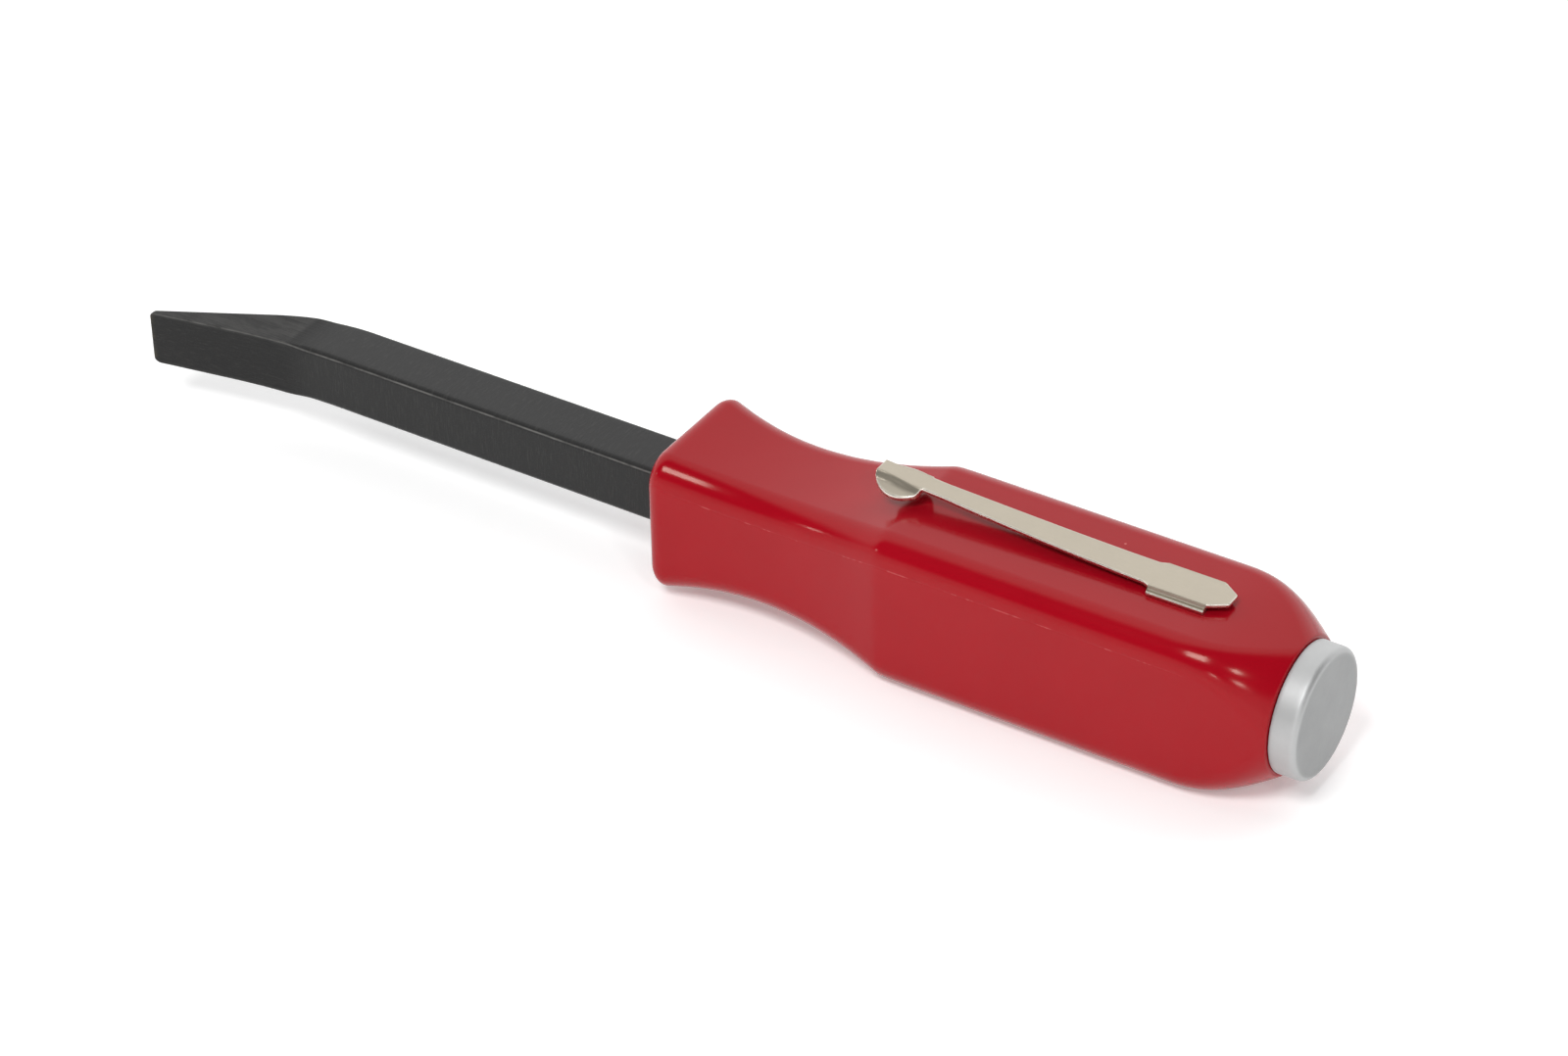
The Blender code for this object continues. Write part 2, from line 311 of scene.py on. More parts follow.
def rounded_rings(low_y, high_y, low_z, high_z, radius, corner, straight):
    """Rings round rectangles: four quarter circles, each followed by a straight run.

    The first five arguments have one value for each ring. corner and straight hold the
    places of the points along a quarter circle and along a straight run, from 0 to 1.
    """
    centres = (
        (high_y - radius, high_z - radius),
        (low_y + radius, high_z - radius),
        (low_y + radius, low_z + radius),
        (high_y - radius, low_z + radius),
    )
    along = np.asarray(straight)[None, :]
    ys, zs = [], []
    for number, (y, z) in enumerate(centres):
        angle = (number + np.asarray(corner)) * pi / 2
        ys.append(y[:, None] + radius[:, None] * np.cos(angle))
        zs.append(z[:, None] + radius[:, None] * np.sin(angle))
        next_y, next_z = centres[(number + 1) % 4]
        turn = (number + 1) * pi / 2
        start_y, end_y = y + radius * cos(turn), next_y + radius * cos(turn)
        start_z, end_z = z + radius * sin(turn), next_z + radius * sin(turn)
        ys.append(start_y[:, None] * (1 - along) + end_y[:, None] * along)
        zs.append(start_z[:, None] * (1 - along) + end_z[:, None] * along)
    return np.concatenate(ys, axis=1), np.concatenate(zs, axis=1)


def skin(name, x, y, z, marks, looped=False, sharp=35):
    """An object from rows of rings: quads between neighbours, and quads across both end rings.

    x, y and z are arrays of rows by points, and marks are named arrays of the same shape. A
    looped skin joins its last ring to its first, so it has no ends. Edges that turn by more
    than sharp degrees are shaded as creases.
    """
    rows, points = y.shape
    index = np.arange(rows * points).reshape(rows, points)
    after = np.roll(index, -1, axis=1)
    if looped:
        ahead, ahead_after = np.roll(index, -1, axis=0), np.roll(after, -1, axis=0)
        faces = [np.stack([index, ahead, ahead_after, after], axis=-1).reshape(-1, 4)]
    else:
        faces = [np.stack([index[:-1], index[1:], after[1:], after[:-1]], axis=-1).reshape(-1, 4)]
        for ring in (index[0][::-1], index[-1]):
            one, other = ring[: points // 2], ring[points // 2 :][::-1]
            faces.append(np.stack([one[:-1], one[1:], other[1:], other[:-1]], axis=-1))
    mesh = bpy.data.meshes.new(name)
    corners = np.stack([np.broadcast_to(x, y.shape), y, z], axis=-1).reshape(-1, 3)
    mesh.from_pydata(corners, [], np.concatenate(faces))
    for mark, values in marks.items():
        layer = mesh.attributes.new(mark, "FLOAT", "POINT")
        layer.data.foreach_set("value", np.broadcast_to(values, y.shape).ravel())
    bm = bmesh.new()
    bm.from_mesh(mesh)
    bmesh.ops.remove_doubles(bm, verts=bm.verts, dist=WELD)
    bmesh.ops.recalc_face_normals(bm, faces=bm.faces)
    bm.to_mesh(mesh)
    bm.free()
    mesh.shade_smooth()
    mesh.set_sharp_from_angle(angle=radians(sharp))
    made = bpy.data.objects.new(name, mesh)
    bpy.context.scene.collection.objects.link(made)
    return made


def steps(*stretches):
    """Places along a line: (start, end, count) stretches one after another, ends shared."""
    runs = [np.linspace(a, b, count, endpoint=False) for a, b, count in stretches]
    return np.concatenate(runs + [np.array([stretches[-1][1]])])


def finish_material(base, roughness, bump, bump_depth, constants):
    """Joins the wires of a material to its Principled node and sets the node's constants."""
    shader = base.tree.nodes["Principled BSDF"]
    bumped = bump.node(
        "ShaderNodeBump", inputs={"Height": bump, "Distance": bump_depth, "Strength": 1.0}
    )
    for socket, wire in (("Base Color", base), ("Roughness", roughness), ("Normal", bumped)):
        base.tree.links.new(wire.socket, shader.inputs[socket])
    for socket, value in constants.items():
        shader.inputs[socket].default_value = value


def new_material(piece, name):
    """Puts a new Principled material on a piece and gives a wire with its Object coordinates."""
    material = bpy.data.materials.new(name)
    material.use_nodes = True
    piece.data.materials.append(material)
    return Wire(material.node_tree).node("ShaderNodeTexCoord", output=3)


def mark_of(place, name):
    """A wire with a mark that the mesh carries."""
    return place.node("ShaderNodeAttribute", {"attribute_name": name}, output=2)


tip_turns = TIP_CORNER_LOW * (1 - np.cos(np.linspace(0, pi / 2, 10, endpoint=False)))
spigot_start = TANG_LENGTH - SPIGOT_LENGTH
blade_back = np.concatenate(
    [
        tip_turns,
        steps((TIP_CORNER_LOW, WEDGE_END, 60), (WEDGE_END, BEND_BACK, 64), (BEND_BACK, spigot_start, 60)),
        np.array([spigot_start, TANG_LENGTH]),
    ]
)
near_slope = tan(NEAR_TURN)
tip_aside = crank(0.0, NEAR_CRANK_START, NEAR_CRANK_LENGTH, near_slope)
far_reach = FAR_CRANK_START - FAR_CRANK_LENGTH / 2
far_slope = (2 * BAR_HALF - TIP_THICKNESS + tip_aside) / far_reach
blade_low_y = -BAR_HALF - crank(blade_back, NEAR_CRANK_START, NEAR_CRANK_LENGTH, near_slope)
blade_high_y = BAR_HALF - crank(blade_back, FAR_CRANK_START, FAR_CRANK_LENGTH, far_slope)
narrow = np.clip(1 - blade_back / NARROWING_START, 0, None)
blade_half = BAR_HALF - (BAR_HALF - TIP_HALF_HEIGHT) * narrow
blade_top = blade_half - end_round(blade_back, TIP_CORNER_TOP)
blade_bottom = -blade_half + end_round(blade_back, TIP_CORNER_LOW)
blade_low_y += end_round(blade_back, TIP_EDGE)
blade_high_y -= end_round(blade_back, TIP_EDGE)
unground = smooth((blade_back - GROUND_END) / GROUND_RUN)
blade_corner = GROUND_CORNER + (BAR_CORNER - GROUND_CORNER) * unground
blade_corner = np.minimum(blade_corner, THIN_CORNER * (blade_high_y - blade_low_y))
spigot = np.arange(len(blade_back)) >= len(blade_back) - 2
blade_low_y = np.where(spigot, -SPIGOT_RADIUS, blade_low_y)
blade_high_y = np.where(spigot, SPIGOT_RADIUS, blade_high_y)
blade_top = np.where(spigot, SPIGOT_RADIUS, blade_top)
blade_bottom = np.where(spigot, -SPIGOT_RADIUS, blade_bottom)
blade_corner = np.where(spigot, SPIGOT_RADIUS * NEARLY_ROUND, blade_corner)
blade_y, blade_z = rounded_rings(
    blade_low_y,
    blade_high_y,
    AXIS_Z + blade_bottom,
    AXIS_Z + blade_top,
    blade_corner,
    np.linspace(0, 1, CORNER_POINTS),
    np.linspace(0, 1, SIDE_POINTS + 2)[1:-1],
)
# The rings start in the middle of a corner, so that every quad across the tip has an area.
blade_y = np.roll(blade_y, -(CORNER_POINTS // 2), axis=1)
blade_z = np.roll(blade_z, -(CORNER_POINTS // 2), axis=1)
# Painted reflection, partly wear: a pale line part way round each upper and lower edge radius, where the
# bright low paper would be reflected, broken into patches like wear.
line_up = AXIS_Z + (blade_top - (1 - EDGE_LINE_PLACE) * blade_corner)[:, None]
line_down = AXIS_Z + (blade_bottom + (1 - EDGE_LINE_PLACE) * blade_corner)[:, None]
blade_line = bell(blade_z - line_up, EDGE_LINE_WIDTH) + bell(blade_z - line_down, EDGE_LINE_WIDTH)
tip_edge = bell(blade_back, TIP_MARK_WIDTH)[:, None]
ground = 1 - smooth((blade_back - GRIND_START) / GRIND_RUN)[:, None]
blade = skin(
    "blade",
    TIP_X + blade_back[:, None],
    blade_y,
    blade_z,
    {"wear_and_sheen_line": blade_line, "tip_edge": tip_edge, "ground": ground},
)

place = new_material(blade, "black_oxide")
wear_and_sheen_line = mark_of(place, "wear_and_sheen_line")
tip_edge = mark_of(place, "tip_edge")
ground = mark_of(place, "ground")
rubbed = place.scaled((90, 5200, 5200)).noise(1.0, 3.0, 0.65)
crossed = place.scaled((6000, 900, 650)).noise(1.0, 3.0, 0.65)
cloud = place.noise(260.0, 3.0, 0.6)
fine = place.noise(9000.0, 2.0, 0.6)
oxide = cloud.between(OXIDE_DARK, OXIDE_PALE)
streaks = rubbed.ramp(0.50, 0.75) * ground * 0.35 + crossed.ramp(0.50, 0.75) * (1 - ground) * 0.45
oxide = streaks.between(oxide, OXIDE_STREAK)
oxide = (fine.ramp(0.56, 0.74) * 0.45).between(oxide, OXIDE_SPECK)
patchy = place.scaled((300, 900, 900)).noise(1.0, 3.0, 0.7)
# The edge line lightens the oxide, partly as wear on the steel and partly as a painted reflection.
wear_and_sheen = wear_and_sheen_line.ramp(0.2, 1.0) * (1 - ground * 0.3) * (patchy.ramp(0.30, 0.62) * 0.75 + 0.25)
oxide = (wear_and_sheen * 0.85).between(oxide, WEAR_AND_SHEEN_STEEL)
oxide = (tip_edge * patchy.ramp(0.35, 0.6) * 0.7).between(oxide, WORN_TIP)
finish_material(
    base=oxide,
    roughness=0.34 + cloud * 0.10 + fine * 0.06 + ground * 0.22,
    bump=rubbed * ground * 1.2 + crossed * (1 - ground) * 0.40 + fine * 0.25,
    bump_depth=0.000035,
    constants={"Metallic": 0.0, "IOR": 1.33},
)
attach(blade, "tool")
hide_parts("pry_blade")

# ---------------------------------------------------------------------------------------
# Handle. One moulding of glossy, slightly clear red plastic round the tang: a flared front,
# a pinched waist, a square grip, and a shoulder that turns round to meet the cap. The mould
# leaves a fine parting line where each side meets the top's corner radius.

handle_low, handle_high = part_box("handle")
HANDLE_HALF = (handle_high.z - handle_low.z) / 2
HANDLE_LENGTH = handle_high.x - handle_low.x
FRONT_X = handle_low.x
HANDLE_CORNER = 0.00264
WAIST_X = 0.0117
CREASE_X = 0.0260
CREASE_SOFT = 0.00012
SHOULDER_X = 0.0569
SHOULDER_POWER = 2.65
CREASE_NEAR = 0.0015
RISE_LIMIT = 1.5
FLARE_HALF = 0.00793
WAIST_HALF = 0.00640
REAR_RADIUS = 0.00674
FLARE_ROUND = 0.0018
REAR_ROUND = 0.00012
BAR_GAP = 0.00004
HOLE_HALF = BAR_HALF + BAR_GAP
HOLE_ROUND = 0.00035
HOLE_STEPS = 12
LIP_OUT = np.array([0.0009, 0.0018])
LIP_CORNER = np.array([0.0013, 0.0018])
NECK_RADIUS = 0.0049
NECK_MOUTH = 0.0057
NECK_DEPTH = 0.0062
PARTING_DEPTH = 0.000025
PARTING_WIDTH = 0.00005
PARTING_MARK = 0.00009
PARTING_START = 0.0010
PARTING_FADE_IN = 0.0020
PARTING_END = 0.0600
PARTING_FADE_OUT = 0.0030
CORNER_PLACES = (0, 0.018, 0.036, 0.055, *np.linspace(0.1, 0.9, 13), 0.945, 0.964, 0.982, 1)
SIDE_PLACES = (0.006, 0.012, 0.02, *np.linspace(0.07, 0.93, 12), 0.98, 0.988, 0.994)
RED_DEEP = (0.306, 0.0022, 0.0088)
RED_PALE = (0.338, 0.0028, 0.0104)
RED_PARTING = (0.58, 0.12, 0.12)
RED_NICK = (0.62, 0.16, 0.15)
WARM_REFLECTION = (1.0, 0.93, 0.80, 1)


def handle_half(along):
    """Half the width: a parabola in to the waist, another out to the crease, level, then round."""
    inward = WAIST_HALF + (FLARE_HALF - WAIST_HALF) * np.clip(1 - along / WAIST_X, 0, None) ** 2
    rise = np.clip((along - WAIST_X) / (CREASE_X - WAIST_X), 0, RISE_LIMIT)
    outward = inward + (HANDLE_HALF - WAIST_HALF) * rise**2
    apart = outward - HANDLE_HALF
    half = (outward + HANDLE_HALF - np.sqrt(apart**2 + CREASE_SOFT**2)) / 2
    fall = np.clip((along - SHOULDER_X) / (HANDLE_LENGTH - SHOULDER_X), 0, 1)
    return half - (HANDLE_HALF - REAR_RADIUS) * fall**2


def handle_corner(along, half):
    """The corner radius: even along the grip, then growing until the rear end is round."""
    fall = np.clip((along - SHOULDER_X) / (HANDLE_LENGTH - SHOULDER_X), 0, 1)
    return HANDLE_CORNER + (NEARLY_ROUND * half - HANDLE_CORNER) * fall**SHOULDER_POWER


flare_turn = FLARE_ROUND * (1 - np.cos(np.linspace(0, pi / 2, 12, endpoint=False)))
rear_turn = HANDLE_LENGTH - REAR_ROUND * (1 - np.cos(np.linspace(pi / 2, 0, 6)))
crease_start, crease_end = CREASE_X - CREASE_NEAR, CREASE_X + CREASE_NEAR
skin_along = np.concatenate(
    [
        flare_turn,
        steps((FLARE_ROUND, crease_start, 56), (crease_start, crease_end, 24)),
        steps((crease_end, SHOULDER_X, 60), (SHOULDER_X, HANDLE_LENGTH - REAR_ROUND, 54))[1:-1],
        rear_turn,
    ]
)
skin_half = handle_half(skin_along)
skin_corner = handle_corner(skin_along, skin_half)
skin_half -= end_round(skin_along, FLARE_ROUND)
skin_half -= end_round(HANDLE_LENGTH - skin_along, REAR_ROUND)
hole_turn = np.linspace(0, pi / 2, 6)
neck_bottom = HANDLE_LENGTH - NECK_DEPTH
inner_along = np.concatenate(
    [
        np.array([HANDLE_LENGTH, HANDLE_LENGTH, neck_bottom, neck_bottom]),
        steps((neck_bottom, HOLE_ROUND, HOLE_STEPS))[1:-1],
        HOLE_ROUND * (1 - np.sin(hole_turn)),
        np.zeros(2),
    ]
)
neck_half = np.array([NECK_MOUTH, NECK_RADIUS, NECK_RADIUS])
inner_half = np.concatenate(
    [
        neck_half,
        np.full(HOLE_STEPS, HOLE_HALF),
        HOLE_HALF + HOLE_ROUND * (1 - np.cos(hole_turn)),
        HOLE_HALF + LIP_OUT,
    ]
)
hole_corner = np.full(HOLE_STEPS + len(hole_turn), BAR_CORNER)
inner_corner = np.concatenate([neck_half * NEARLY_ROUND, hole_corner, LIP_CORNER])
all_along = np.concatenate([skin_along, inner_along])
all_half = np.concatenate([skin_half, inner_half])
all_corner = np.minimum(np.concatenate([skin_corner, inner_corner]), NEARLY_ROUND * all_half)
handle_y, handle_z = rounded_rings(
    -all_half,
    all_half,
    HANDLE_HALF - all_half,
    HANDLE_HALF + all_half,
    all_corner,
    CORNER_PLACES,
    SIDE_PLACES,
)
outer = (np.arange(len(all_along)) < len(skin_along))[:, None]
from_line = handle_z - (HANDLE_HALF + all_half - all_corner)[:, None]
fade_in = smooth((all_along - PARTING_START) / PARTING_FADE_IN)
gripped = fade_in * smooth((PARTING_END - all_along) / PARTING_FADE_OUT)
groove = bell(from_line, PARTING_WIDTH) * outer * gripped[:, None]
handle_y -= np.sign(handle_y) * PARTING_DEPTH * groove
handle = skin(
    "grip",
    FRONT_X + all_along[:, None],
    handle_y,
    handle_z,
    {"parting": bell(from_line, PARTING_MARK) * outer * gripped[:, None]},
    looped=True,
    sharp=40,
)

place = new_material(handle, "red_plastic")
parting = mark_of(place, "parting")
cloud = place.noise(140.0, 2.0, 0.5)
wave = place.noise(230.0, 1.0, 0.4)
fine = place.noise(5200.0, 2.0, 0.5)
red = cloud.between(RED_DEEP, RED_PALE)
broken = place.scaled((330, 60, 60)).noise(1.0, 3.0, 0.7).ramp(0.46, 0.64)
line = (parting * (broken * 0.65 + 0.35)).ramp(0.15, 0.95)
red = (line * 0.34).between(red, RED_PARTING)
cell, cell_colour = (
    place.node("ShaderNodeTexVoronoi", {"feature": "F1"}, {"Vector": place, "Scale": 260.0}, number)
    for number in (0, 1)
)
chosen = cell_colour.part(0).ramp(0.90, 0.91)
nick = (1 - cell.ramp(0.02, 0.045)) * chosen
red = (nick * 0.7).between(red, RED_NICK)
finish_material(
    base=red,
    roughness=0.13 + cloud * 0.05 + line * 0.25 + nick * 0.3,
    bump=wave + fine * 0.02 - nick * 0.5,
    bump_depth=0.00003,
    constants={"Metallic": 0.0, "IOR": 1.325, "Specular Tint": WARM_REFLECTION},
)
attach(handle, "tool")
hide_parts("handle")

# ---------------------------------------------------------------------------------------
# Strike cap. A turned steel button on the end of the tang, satin, with a rounded edge and
# fine turning marks; its neck sits in the handle and its bore takes the tang's spigot. Its end
# face is painted darker than its side, as painted shade.

cap_low, cap_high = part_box("strike_cap")
CAP_RADIUS = cap_high.y
CAP_FACE_X = cap_high.x
CAP_GAP = 0.00006
CAP_SEAT_X = handle_high.x + CAP_GAP
CAP_EDGE_ROUND = 0.0006
CAP_BACK_ROUND = 0.00010
CAP_NECK_RADIUS = 0.0048
CAP_NECK_END = cap_low.x
CAP_BORE_RADIUS = 0.0023
CAP_BORE_DEPTH = 0.0048
CAP_TURNS = 144
FACE_RINGS = 22
RIM_RINGS = 4
# Where the end face's painted shade and turning rings stop short of the rim.
FACE_MASK_INSET = 0.0003
FACE_MASK_RUN = 0.0004
FACE_MASK_DEPTH = 0.0004
STEEL_DARK = (0.46, 0.465, 0.465)
STEEL_PALE = (0.53, 0.535, 0.535)
# Painted shade for the end face:
FACE_SHADE_DARK = (0.31, 0.315, 0.315)
FACE_SHADE_PALE = (0.38, 0.385, 0.385)


def turned(name, profile_x, profile_r, marks):
    """A closed turned piece: a profile of x and radius swept in a full circle about the bar's axis."""
    angle = np.linspace(0, 2 * pi, CAP_TURNS, endpoint=False)[None, :]
    y = profile_r[:, None] * np.cos(angle)
    z = AXIS_Z + profile_r[:, None] * np.sin(angle)
    return skin(name, profile_x[:, None], y, z, marks, sharp=38)


edge_turn = np.linspace(0, pi / 2, 9)
back_turn = np.linspace(0, pi / 2, 5)
bore_end = CAP_NECK_END + CAP_BORE_DEPTH
rim_front, rim_back = CAP_FACE_X - CAP_EDGE_ROUND, CAP_SEAT_X + CAP_BACK_ROUND
cap_x = np.concatenate(
    [
        np.full(FACE_RINGS, CAP_FACE_X),
        CAP_FACE_X - CAP_EDGE_ROUND * (1 - np.cos(edge_turn)),
        np.linspace(rim_front, rim_back, RIM_RINGS + 2)[1:-1],
        CAP_SEAT_X + CAP_BACK_ROUND * (1 - np.sin(back_turn)),
        np.array([CAP_SEAT_X, CAP_NECK_END, CAP_NECK_END, bore_end, bore_end]),
    ]
)
cap_r = np.concatenate(
    [
        [TINY],
        np.linspace(0, CAP_RADIUS - CAP_EDGE_ROUND, FACE_RINGS, endpoint=False)[1:],
        CAP_RADIUS - CAP_EDGE_ROUND * (1 - np.sin(edge_turn)),
        np.full(RIM_RINGS, CAP_RADIUS),
        CAP_RADIUS - CAP_BACK_ROUND * (1 - np.cos(back_turn)),
        [CAP_NECK_RADIUS, CAP_NECK_RADIUS, CAP_BORE_RADIUS, CAP_BORE_RADIUS, TINY],
    ]
)
# Painted shade: this mask darkens the end face inside its rim, and it also carries the turning rings.
in_front = cap_x > CAP_FACE_X - FACE_MASK_DEPTH
end_face_mask = smooth((CAP_RADIUS - FACE_MASK_INSET - cap_r) / FACE_MASK_RUN) * in_front
cap = turned("strike_button", cap_x, cap_r, {"end_face_mask": end_face_mask[:, None]})

place = new_material(cap, "satin_steel")
end_face = mark_of(place, "end_face_mask")
across = place.scaled((0, 1, 1), (0, 0, -AXIS_Z))
radius = across.node("ShaderNodeVectorMath", {"operation": "LENGTH"}, {0: across}, output=1)
rings = radius.node(
    "ShaderNodeTexNoise",
    {"noise_dimensions": "1D"},
    {"W": radius, "Scale": 9000.0, "Detail": 2.0},
)
girth = place.scaled((9000, 120, 120)).noise(1.0, 2.0, 0.6)
cloud = place.noise(420.0, 3.0, 0.6)
fine = place.noise(7000.0, 2.0, 0.6)
steel = cloud.between(STEEL_DARK, STEEL_PALE)
face_mottle = place.noise(300.0, 4.0, 0.65)
# The end face is painted darker than the side, as painted shade.
steel = end_face.between(steel, face_mottle.between(FACE_SHADE_DARK, FACE_SHADE_PALE))
finish_material(
    base=steel,
    roughness=0.52 + end_face * 0.04 + fine * 0.06,
    bump=rings * end_face * 0.5 + girth * (1 - end_face) * 0.6 + fine * 0.2,
    bump_depth=0.00001,
    constants={"Metallic": 1.0},
)
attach(cap, "tool")
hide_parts("strike_cap")

# ---------------------------------------------------------------------------------------
# Pocket clip. One stamping of nickel-plated spring steel: a rear plate with a foot bent down
# along each side and a chamfered end, a springy arm that rises and narrows, and an oval head
# whose middle stays raised between two folded wings. The arm bends close to its root.

CLIP_TOP = handle_high.z
SHEET = 0.00045
HEAD_FRONT = 0.0219
HEAD_MIDDLE = 0.02445
HEAD_LONG = 0.002836
HEAD_WIDE = 0.00240
HEAD_REAR = 0.0276
WING_END = 0.0300
HINGE = Vector(frame["joints"][0]["pos_m"])
PLATE_AHEAD = 0.00015
PLATE_FRONT = HINGE.x - FRONT_X - PLATE_AHEAD
ARM_ROOT = 0.0500
PLATE_STEP = 0.0505
PLATE_STEP_RUN = 0.0008
FOOT_STEP = 0.00002
FOOT_FRONT = 0.0513
FOOT_REAR = 0.0572
NOSE_FRONT = 0.0573
CLIP_REAR = 0.0590
PLATE_RISE = 0.00092
HEAD_RISE = 0.00252
RISE_POWER = 1.4
RIB_HALF = 0.00105
ARM_WIDENS = 0.0290
ARM_WIDENING = 0.0215
ARM_POWER = 0.85
ARM_ROOT_HALF = 0.00170
PLATE_HALF = 0.00195
FOOT_HALF = 0.00250
NOSE_HALF = 0.00082
FOLD_INWARD = 0.00030
FOLD_START = 0.0228
FOLD_LENGTH = 0.0036
WING_DROP = 0.00071
WING_RUN = 0.00068
WING_SLOPE = 0.41
WING_WALL = 0.00022
FOOT_DROP = 0.00046
FOOT_RUN = 0.00016
FOOT_WALL = 0.00034
EDGE_ROUND = 0.00013
EDGE_POWER = 0.7
EDGE_SHARE = 0.3
SPREAD_LEAST = 0.02
SPREAD_SHARE = 0.4
SPREAD_RUN = 0.0010
SPREAD_REAR = 0.0512
SPREAD_NOSE_RUN = 0.0004
SPREAD_FRONT = 0.0221
SPREAD_FRONT_RUN = 0.0002
WALL_SHARE = 0.8
FACE_OUTWARD = (*np.linspace(0, 0.27, 10)[1:], *np.linspace(0.27, 1, 7)[1:])
ROOM = 0.000002
NO_SIDE = 0.00002
# Where the painted shade on each fold is darkest, in drop runs past the fold, and how wide it is.
FOLD_SHADE_PEAK = 0.40
FOLD_SHADE_WIDTH = 0.35
# How wide the painted highlight is along the rims and across the ends.
RIM_HIGHLIGHT_WIDTH = 0.00010
END_HIGHLIGHT_WIDTH = 0.00008
NICKEL_DARK = (0.405, 0.362, 0.292)
NICKEL_PALE = (0.465, 0.416, 0.340)
NICKEL_GRAIN = (0.33, 0.305, 0.25)
# Painted shade for the folds:
NICKEL_FOLD_SHADE = (0.24, 0.215, 0.165)
# Painted highlight for the rims and ends:
NICKEL_EDGE_HIGHLIGHT = (0.82, 0.79, 0.72)


def clip_rise(along):
    """Height of the upper face above the handle: level on the plate, then a power curve."""
    rise = np.clip((PLATE_FRONT - along) / (PLATE_FRONT - HEAD_FRONT), 0, 1)
    return PLATE_RISE + (HEAD_RISE - PLATE_RISE) * rise**RISE_POWER


def rib_half(along):
    """Half width of the raised middle: the head's rib, the widening arm, the plate, the nose."""
    arm = np.clip((along - ARM_WIDENS) / ARM_WIDENING, 0, 1)
    half = RIB_HALF + (ARM_ROOT_HALF - RIB_HALF) * arm**ARM_POWER
    half += (PLATE_HALF - ARM_ROOT_HALF) * smooth((along - PLATE_STEP) / PLATE_STEP_RUN)
    nose = np.clip((along - NOSE_FRONT) / (CLIP_REAR - NOSE_FRONT), 0, 1)
    return half - (PLATE_HALF - NOSE_HALF) * nose


def fold_start(along):
    """Where a side starts to fall: the rib's edge, and further in on the front of the head."""
    return rib_half(along) - FOLD_INWARD * (1 - smooth((along - FOLD_START) / FOLD_LENGTH))


def clip_shape(along):
    """Each station's fold start, outer half, drop, drop run, wall thickness and end rounding."""
    rib = rib_half(along)
    disc = HEAD_WIDE * np.sqrt(np.clip(1 - ((along - HEAD_MIDDLE) / HEAD_LONG) ** 2, 0, None))
    footed = (along > FOOT_FRONT - TINY) & (along < FOOT_REAR + TINY)
    foot_end = end_round(np.minimum(along - FOOT_FRONT, FOOT_REAR - along).clip(0), EDGE_ROUND)
    outer = np.maximum(rib, disc)
    outer = np.where(footed, FOOT_HALF - foot_end, outer)
    winged = along < WING_END
    drop = np.where(winged, WING_DROP, FOOT_DROP)
    run = np.where(winged, WING_RUN, FOOT_RUN)
    wall = np.where(winged, WING_WALL, FOOT_WALL)
    ends = end_round(np.minimum(along - HEAD_FRONT, CLIP_REAR - along).clip(0), EDGE_ROUND)
    return fold_start(along), outer, drop, run, wall, ends


def clip_spread(along):
    """How far in the outward points start, from 0 to 1: nearly 0 beside the wings and feet."""
    arm = smooth((along - HEAD_REAR) / SPREAD_RUN) * smooth((SPREAD_REAR - along) / SPREAD_RUN)
    nose = smooth((along - NOSE_FRONT) / SPREAD_NOSE_RUN)
    front = smooth((SPREAD_FRONT - along) / SPREAD_FRONT_RUN)
    return SPREAD_LEAST + (1 - SPREAD_LEAST) * np.clip(arm + nose + front, 0, 1)


def clip_rings(along):
    """Closed rings round the sheet: its upper face, a rounded rim, its lower face, the other rim.

    The upper face is level out to the fold's start, falls by the drop in a smooth step and
    slopes on evenly on a wing. The lower face does the same nearer the middle, so that the
    wall keeps its thickness. The rims are powers of a cosine and a sine.
    """
    fold, outer, drop, run, wall, ends = (value[:, None] for value in clip_shape(along))
    top = clip_rise(along)[:, None] - ends
    thick = SHEET - 2 * ends
    rim = np.minimum(EDGE_ROUND, outer * EDGE_SHARE)
    inner_end = fold * (1 - SPREAD_SHARE * clip_spread(along)[:, None])
    middle = np.linspace(0, 1, 7)[None, :]
    outward = np.array(FACE_OUTWARD)[None, :]
    reach = outer - ends - rim
    slope = WING_SLOPE * (along[:, None] < WING_END)

    def face(edge, start):
        edge = np.minimum(edge, reach - ROOM)
        y = np.concatenate([edge * middle, edge + (reach - edge) * outward], axis=1)
        return y, drop * smooth((y - start) / run) + slope * np.clip(y - start - run, 0, None)

    upper_y, upper_fall = face(inner_end, fold)
    lower_y, lower_fall = face(inner_end - wall * WALL_SHARE, fold - wall)
    upper_z = top - upper_fall
    lower_z = top - thick - np.where(outer > fold + NO_SIDE, lower_fall, 0)
    turn = np.linspace(pi / 2, -pi / 2, 9)[None, 1:-1]
    side_top, side_low = upper_z[:, -1:], lower_z[:, -1:]
    rim_y = reach + rim * np.abs(np.cos(turn)) ** EDGE_POWER
    rim_rise = np.sign(np.sin(turn)) * np.abs(np.sin(turn)) ** EDGE_POWER
    rim_z = (side_top + side_low) / 2 + (side_top - side_low) / 2 * rim_rise
    half_y = np.concatenate([upper_y, rim_y, lower_y[:, ::-1]], axis=1)
    half_z = np.concatenate([upper_z, rim_z, lower_z[:, ::-1]], axis=1)
    y = np.concatenate([half_y, -half_y[:, -2:0:-1]], axis=1)
    z = np.concatenate([half_z, half_z[:, -2:0:-1]], axis=1)
    # The rings start at a side, so that the quads across both ends run from top to bottom.
    side_first = y.shape[1] // 4
    return np.roll(y, side_first, axis=1), np.roll(z, side_first, axis=1)


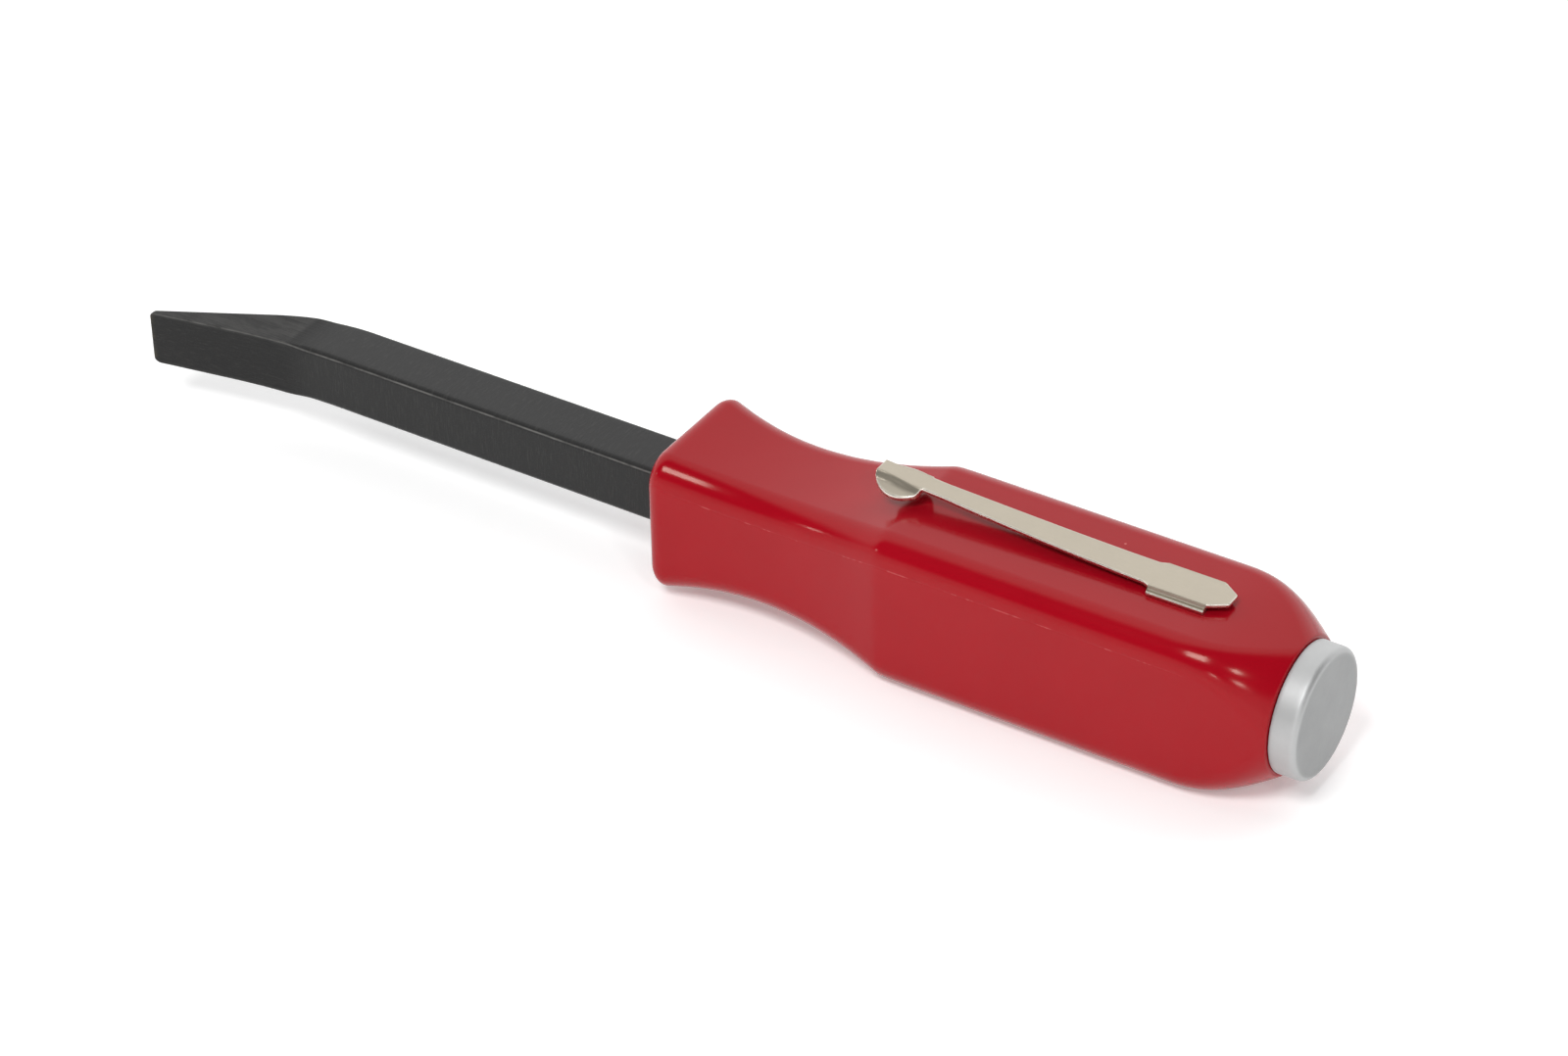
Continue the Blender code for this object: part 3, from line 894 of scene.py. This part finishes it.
end_steps = EDGE_ROUND * (1 - np.cos(np.linspace(0, pi / 2, 6, endpoint=False)))
clip_along = np.unique(
    np.concatenate(
        [
            HEAD_FRONT + end_steps,
            steps((HEAD_FRONT + EDGE_ROUND, HEAD_REAR, 64), (HEAD_REAR, ARM_ROOT, 70)),
            steps((ARM_ROOT, FOOT_FRONT - FOOT_STEP, 10)),
            FOOT_FRONT + end_steps,
            steps((FOOT_FRONT + EDGE_ROUND, FOOT_REAR - EDGE_ROUND, 24)),
            FOOT_REAR - end_steps,
            steps((FOOT_REAR + FOOT_STEP, CLIP_REAR - EDGE_ROUND, 14)),
            CLIP_REAR - end_steps,
        ]
    )
)
clip_y, clip_z = clip_rings(clip_along)
clip_fold, clip_outer, _, clip_run, _, clip_ends = (value[:, None] for value in clip_shape(clip_along))
# Painted shade: the sheet is darkened along each fold, darkest part way down the wall where a side falls
# away.
over_fold = (np.abs(clip_y) - clip_fold) / clip_run
fold = bell(over_fold - FOLD_SHADE_PEAK, FOLD_SHADE_WIDTH) * (clip_outer > clip_fold + NO_SIDE)
from_end = np.minimum(clip_along - HEAD_FRONT, CLIP_REAR - clip_along)[:, None]
# A painted highlight on the sheet's rims and ends, where the edges would catch the lamps.
rim_near = bell(clip_outer - clip_ends - np.abs(clip_y), RIM_HIGHLIGHT_WIDTH)
edge = np.maximum(rim_near, bell(from_end, END_HIGHLIGHT_WIDTH))
clip = skin(
    "spring_clip",
    FRONT_X + clip_along[:, None],
    clip_y,
    CLIP_TOP + clip_z,
    {"fold": fold, "edge_highlight": edge},
    sharp=50,
)

place = new_material(clip, "nickel_plate")
fold = mark_of(place, "fold")
edge = mark_of(place, "edge_highlight")
cloud = place.noise(380.0, 3.0, 0.6)
grain = place.scaled((1500, 9000, 9000)).noise(1.0, 2.0, 0.6)
fine = place.noise(12000.0, 2.0, 0.5)
nickel = cloud.between(NICKEL_DARK, NICKEL_PALE)
nickel = (grain * 0.35).between(nickel, NICKEL_GRAIN)
# The fold mark darkens the nickel as painted shade along the folds.
nickel = (fold * 0.4).between(nickel, NICKEL_FOLD_SHADE)
# The edge mark paints a highlight along the rims and ends.
nickel = (edge * 0.7).between(nickel, NICKEL_EDGE_HIGHLIGHT)
finish_material(
    base=nickel,
    roughness=0.30 + cloud * 0.08 + fine * 0.05 - edge * 0.10,
    bump=grain * 0.5 + fine * 0.4,
    bump_depth=0.000008,
    constants={"Metallic": 1.0},
)
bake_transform(clip)
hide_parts("clip_base", "clip_arm")
